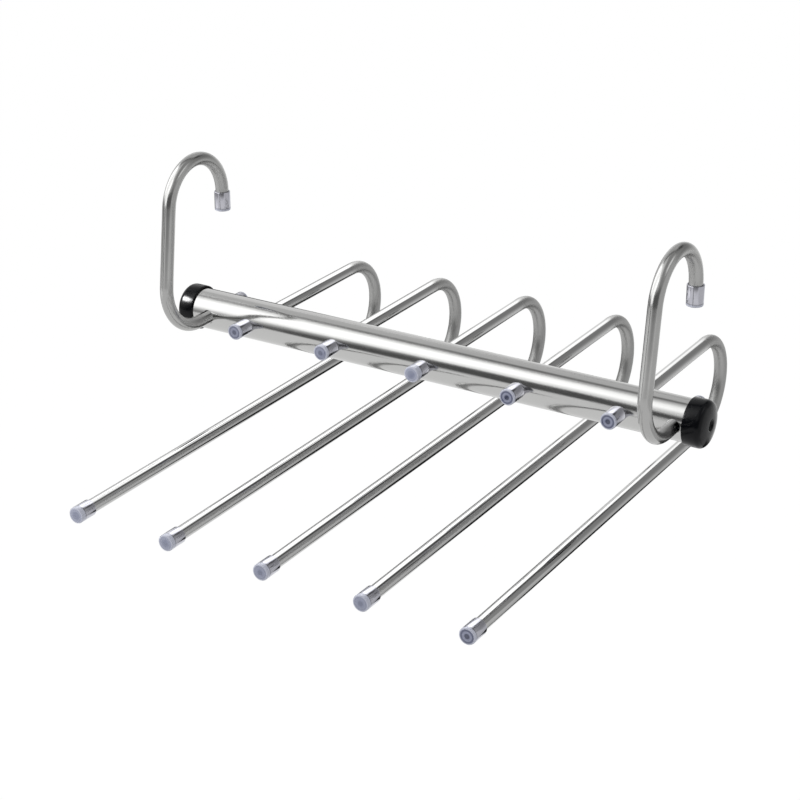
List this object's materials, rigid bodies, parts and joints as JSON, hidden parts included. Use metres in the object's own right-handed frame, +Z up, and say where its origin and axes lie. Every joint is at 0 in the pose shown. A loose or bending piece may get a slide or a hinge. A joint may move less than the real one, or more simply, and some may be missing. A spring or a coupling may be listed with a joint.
{
  "type": "trouser hanger",
  "caption": "Trouser hanger: a steel tube on swivelling closet-rod hooks carries U-bent bars with clear end caps that slide and swing in it.",
  "frame": {"origin": "the place where the crooks rest on the closet rod, above the middle bar", "axes": "+X along the tube towards its right end, -Y towards the bars' free ends, +Z up"},
  "size_m": [0.3557, 0.3193, 0.1694],
  "materials": {
    "polished_steel": "polished stainless tube with long soft reflections",
    "satin_steel": "bright satin stainless tube",
    "black_plastic": "glossy black moulded plastic",
    "clear_plastic": "clear soft vinyl, slightly bluish"
  },
  "bodies": {
    "tube": {"main_tube": "polished_steel", "left_end_cap": "black_plastic", "right_end_cap": "black_plastic"},
    "left_hook": {"left_hook": "satin_steel", "left_hook_tip_cap": "clear_plastic", "left_hook_tail_cap": "clear_plastic"},
    "right_hook": {"right_hook": "satin_steel", "right_hook_tip_cap": "clear_plastic", "right_hook_tail_cap": "clear_plastic"},
    "bar_1_slider": {"bar_1_stop_cap": "clear_plastic"},
    "bar_1": {"bar_1": "satin_steel", "bar_1_tip_cap": "clear_plastic"},
    "bar_2_slider": {"bar_2_stop_cap": "clear_plastic"},
    "bar_2": {"bar_2": "satin_steel", "bar_2_tip_cap": "clear_plastic"},
    "bar_3_slider": {"bar_3_stop_cap": "clear_plastic"},
    "bar_3": {"bar_3": "satin_steel", "bar_3_tip_cap": "clear_plastic"},
    "bar_4_slider": {"bar_4_stop_cap": "clear_plastic"},
    "bar_4": {"bar_4": "satin_steel", "bar_4_tip_cap": "clear_plastic"},
    "bar_5_slider": {"bar_5_stop_cap": "clear_plastic"},
    "bar_5": {"bar_5": "satin_steel", "bar_5_tip_cap": "clear_plastic"}
  },
  "joints": [
    {"name": "left_hook_swivel", "type": "hinge", "parent": "tube", "child": "left_hook", "pos_m": [-0.1553, 0.0188, -0.0991], "axis": [0, -1, 0], "range_deg": [-65, 180]},
    {"name": "right_hook_swivel", "type": "hinge", "parent": "tube", "child": "right_hook", "pos_m": [0.1591, 0.0188, -0.0991], "axis": [0, 1, 0], "range_deg": [-65, 180]},
    {"name": "bar_1_slide", "type": "slide", "parent": "tube", "child": "bar_1_slider", "axis": [0, -1, 0], "range_m": [0, 0.085]},
    {"name": "bar_1_swing", "type": "hinge", "parent": "bar_1_slider", "child": "bar_1", "pos_m": [-0.126, 0.0188, -0.0991], "axis": [0, 1, 0], "range_deg": [-70, 70]},
    {"name": "bar_2_slide", "type": "slide", "parent": "tube", "child": "bar_2_slider", "axis": [0, -1, 0], "range_m": [0, 0.085]},
    {"name": "bar_2_swing", "type": "hinge", "parent": "bar_2_slider", "child": "bar_2", "pos_m": [-0.063, 0.0188, -0.0991], "axis": [0, 1, 0], "range_deg": [-70, 70]},
    {"name": "bar_3_slide", "type": "slide", "parent": "tube", "child": "bar_3_slider", "axis": [0, -1, 0], "range_m": [0, 0.085]},
    {"name": "bar_3_swing", "type": "hinge", "parent": "bar_3_slider", "child": "bar_3", "pos_m": [0, 0.0188, -0.0991], "axis": [0, 1, 0], "range_deg": [-70, 70]},
    {"name": "bar_4_slide", "type": "slide", "parent": "tube", "child": "bar_4_slider", "axis": [0, -1, 0], "range_m": [0, 0.085]},
    {"name": "bar_4_swing", "type": "hinge", "parent": "bar_4_slider", "child": "bar_4", "pos_m": [0.063, 0.0188, -0.0991], "axis": [0, 1, 0], "range_deg": [-70, 70]},
    {"name": "bar_5_slide", "type": "slide", "parent": "tube", "child": "bar_5_slider", "axis": [0, -1, 0], "range_m": [0, 0.085]},
    {"name": "bar_5_swing", "type": "hinge", "parent": "bar_5_slider", "child": "bar_5", "pos_m": [0.126, 0.0188, -0.0991], "axis": [0, 1, 0], "range_deg": [-70, 70]}
  ]
}
